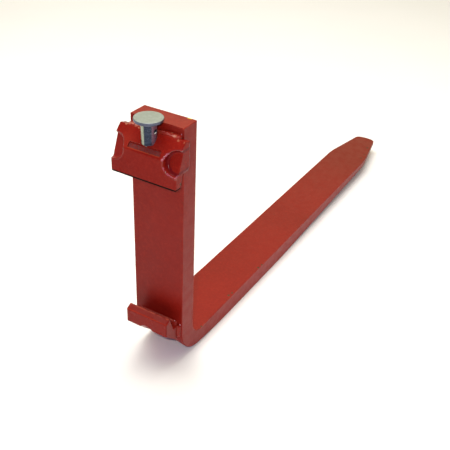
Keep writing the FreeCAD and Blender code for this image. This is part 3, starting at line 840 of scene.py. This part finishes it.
def end_weld_section(side):
    """Across the corner between the lower hook's end and the shank's back, on one side."""
    def section(t):
        z = END_WELD_LOW.z + (END_WELD_HIGH.z - END_WELD_LOW.z) * t
        root = Vector((side * LOWER_HIGH.x, SHANK_BACK, z))
        toe_a = Vector((side * LOWER_HIGH.x, END_WELD_LOW.y, z))
        toe_b = Vector((side * END_WELD_HIGH.x, SHANK_BACK, z))
        return toe_a, toe_b, root
    return section


def add_welds(material):
    """Eight beads, each a name, the solid that it stands for, its length, its section and its swell."""
    top = TOP_WELD_HIGH.x - TOP_WELD_LOW.x
    throat = THROAT_WELD_HIGH.x - THROAT_WELD_LOW.x
    side = SIDE_WELD_HIGH.z - SIDE_WELD_LOW.z
    lower = GROOVE_WELD_HIGH.x - GROOVE_WELD_LOW.x
    end = END_WELD_HIGH.z - END_WELD_LOW.z
    beads = (
        ("top_bead", "upper_top_weld", top, top_weld_section, 1.6 * MM),
        ("throat_bead", "upper_throat_weld", throat, throat_weld_section, 0.6 * MM),
        ("side_bead_right", "upper_side_weld_right", side, side_weld_section(1), 0.9 * MM),
        ("side_bead_left", "upper_side_weld_left", side, side_weld_section(-1), 0.9 * MM),
        ("groove_bead", "lower_groove_weld", lower, groove_weld_section, 1.3 * MM),
        ("heel_bead", "lower_heel_weld", lower, heel_weld_section, 1.0 * MM),
        ("end_bead_right", "lower_end_weld_right", end, end_weld_section(1), 1.6 * MM),
        ("end_bead_left", "lower_end_weld_left", end, end_weld_section(-1), 1.6 * MM),
    )
    for seed, (name, node, length, section, swell) in enumerate(beads, start=1):
        weld_bead(name, node, length, section, swell, seed, material)


def uneven_drop(centre, sizes, seed):
    """Points and faces of one lumpy drop, closed by a point at each pole."""
    points = []
    for ring in range(DROP_RINGS + 1):
        polar = math.pi * ring / DROP_RINGS
        for side in range(1 if ring in (0, DROP_RINGS) else DROP_SIDES):
            turn = math.tau * side / DROP_SIDES
            flat = math.sin(polar)
            way = Vector((flat * math.cos(turn), flat * math.sin(turn), math.cos(polar)))
            lumps = noise.noise(way * DROP_WAVES + Vector((seed * DROP_SHIFT, 0.0, 0.0)))
            reach = Vector(part * size for part, size in zip(way, sizes))
            points.append(Vector(centre) + reach * (1 + DROP_UNEVEN * lumps))
    faces = []
    last = len(points) - 1
    foot = last - DROP_SIDES
    for side in range(DROP_SIDES):
        beside = (side + 1) % DROP_SIDES
        faces.append((0, 1 + side, 1 + beside))
        for ring in range(DROP_RINGS - 2):
            row = 1 + ring * DROP_SIDES
            below = row + DROP_SIDES
            faces.append((row + side, below + side, below + beside, row + beside))
        faces.append((foot + side, last, foot + beside))
    return points, faces


def add_spatter(material):
    """Small uneven drops on and beside the weld beads, painted pale pink as highlights."""
    points, faces = [], []
    for seed, (centre, sizes) in enumerate(SPATTER):
        drop_points, drop_faces = uneven_drop(centre, sizes, seed)
        faces += [tuple(corner + len(points) for corner in face) for face in drop_faces]
        points += drop_points
    mesh_piece("weld_spatter", points, faces, material, "fork")


def add_spring(material):
    """Coil spring round the lock pin, with its ends ground flat."""
    low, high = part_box("lock_spring")
    mean_r = (high.x - low.x) / 2 - SPRING_WIRE_R
    rings = SPRING_COILS * COIL_STEPS
    points, faces = [], []
    for ring in range(rings + 1):
        angle = math.tau * ring / COIL_STEPS
        height = low.z + (high.z - low.z) * ring / rings
        for side in range(WIRE_SIDES):
            turn = math.tau * side / WIRE_SIDES
            radius = mean_r + SPRING_WIRE_R * math.cos(turn)
            z = min(max(height + SPRING_WIRE_R * math.sin(turn), low.z), high.z)
            points.append((radius * math.cos(angle), PIN_Y + radius * math.sin(angle), z))
    for ring in range(rings):
        for side in range(WIRE_SIDES):
            first = ring * WIRE_SIDES + side
            second = ring * WIRE_SIDES + (side + 1) % WIRE_SIDES
            faces.append((first, first + WIRE_SIDES, second + WIRE_SIDES, second))
    faces.append(tuple(range(WIRE_SIDES)))
    faces.append(tuple(reversed(range(rings * WIRE_SIDES, (rings + 1) * WIRE_SIDES))))
    spring = mesh_piece("spring_coil", points, faces, material, "fork")
    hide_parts("lock_spring")
    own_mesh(spring)


def add_camera():
    """Camera at its place, turned by its azimuth, elevation and roll."""
    data = bpy.data.cameras.new("camera")
    data.lens = CAMERA_LENS
    data.clip_end = CAMERA_REACH
    camera = bpy.data.objects.new("camera", data)
    bpy.context.scene.collection.objects.link(camera)
    azimuth, elevation = math.radians(CAMERA_AZIMUTH), math.radians(CAMERA_ELEVATION)
    back = Vector((
        math.sin(azimuth) * math.cos(elevation),
        -math.cos(azimuth) * math.cos(elevation),
        math.sin(elevation),
    ))
    turn = (-back).to_track_quat("-Z", "Y").to_matrix().to_4x4()
    roll = Matrix.Rotation(math.radians(CAMERA_ROLL), 4, "Z")
    camera.matrix_world = Matrix.Translation(CAMERA_PLACE) @ turn @ roll
    bpy.context.scene.camera = camera


def add_floor():
    """Plain pale floor with faint clouds."""
    bpy.ops.mesh.primitive_plane_add(size=FLOOR_SIZE)
    floor = bpy.context.object
    floor.name = "floor"
    nodes = Surface("pale_floor")
    cloud = nodes.step(nodes.noise(1.3, detail=2.0), 0.3, 0.7)
    nodes.shade("Base Color", nodes.mix(cloud, colour(FLOOR_DARK), colour(FLOOR_LIGHT)))
    nodes.shade("Roughness", 0.9)
    nodes.shade("Specular IOR Level", 0.2)
    floor.data.materials.append(nodes.material)


def add_light(name, place, size, power, tint, aim):
    """Round area light that faces its aim."""
    data = bpy.data.lights.new(name, "AREA")
    data.shape = "DISK"
    data.size = size
    data.energy = power
    data.color = tint
    light = bpy.data.objects.new(name, data)
    light.location = place
    light.rotation_euler = (Vector(aim) - Vector(place)).to_track_quat("-Z", "Y").to_euler()
    bpy.context.scene.collection.objects.link(light)


def add_flash():
    """Small flash beside and above the lens."""
    camera = bpy.context.scene.camera
    place = camera.matrix_world @ Vector((-FLASH_LEFT, FLASH_UP, 0.0))
    add_light("flash", place, FLASH_SIZE, FLASH_POWER, FLASH_TINT, FLASH_AIM)


def add_world():
    """Pale wall round the floor, and above it a ceiling that goes from dim in front to bright behind."""
    world = bpy.data.worlds.new("studio")
    world.use_nodes = True
    nodes = Nodes(world.node_tree, "Generated")
    towards = nodes.facing(nodes.place, Vector(BRIGHT_SIDE).normalized())
    ceiling = nodes.mix(nodes.step(towards, *BRIGHT_REACH), DIM_SKY, BRIGHT_SKY)
    room = nodes.mix(nodes.step(nodes.axis("Z"), *WALL_TOP), WALL_TONE, ceiling)
    nodes.plug(room, nodes.tree.nodes["Background"].inputs["Color"])
    bpy.context.scene.world = world


repaint("fork_arm", arm_paint())
repaint("upper_hook", upper_paint())
repaint("lower_hook", lower_paint())
repaint("lock_knob", zinc("zinc_plate"))
repaint("lock_pin", bare_steel("pin_steel", PIN_TONE, 0.28))
repaint("guide_bush", bare_steel("bush_steel", BUSH_TONE, 0.34))
spring_steel = bare_steel("spring_steel", SPRING_TONE, 0.30)
repaint("roll_pin", spring_steel)
add_spring(spring_steel)
add_welds(weld_paint())
add_spatter(bare_steel("spatter_highlight_steel", SPATTER_HIGHLIGHT_TONE, 0.30))

add_camera()
add_floor()
add_world()
add_flash()
for name, place, power in PANELS:
    add_light(name, place, PANEL_SIZE, power, PANEL_TINT, PANEL_AIM)
bpy.context.scene.view_settings.view_transform = "Standard"
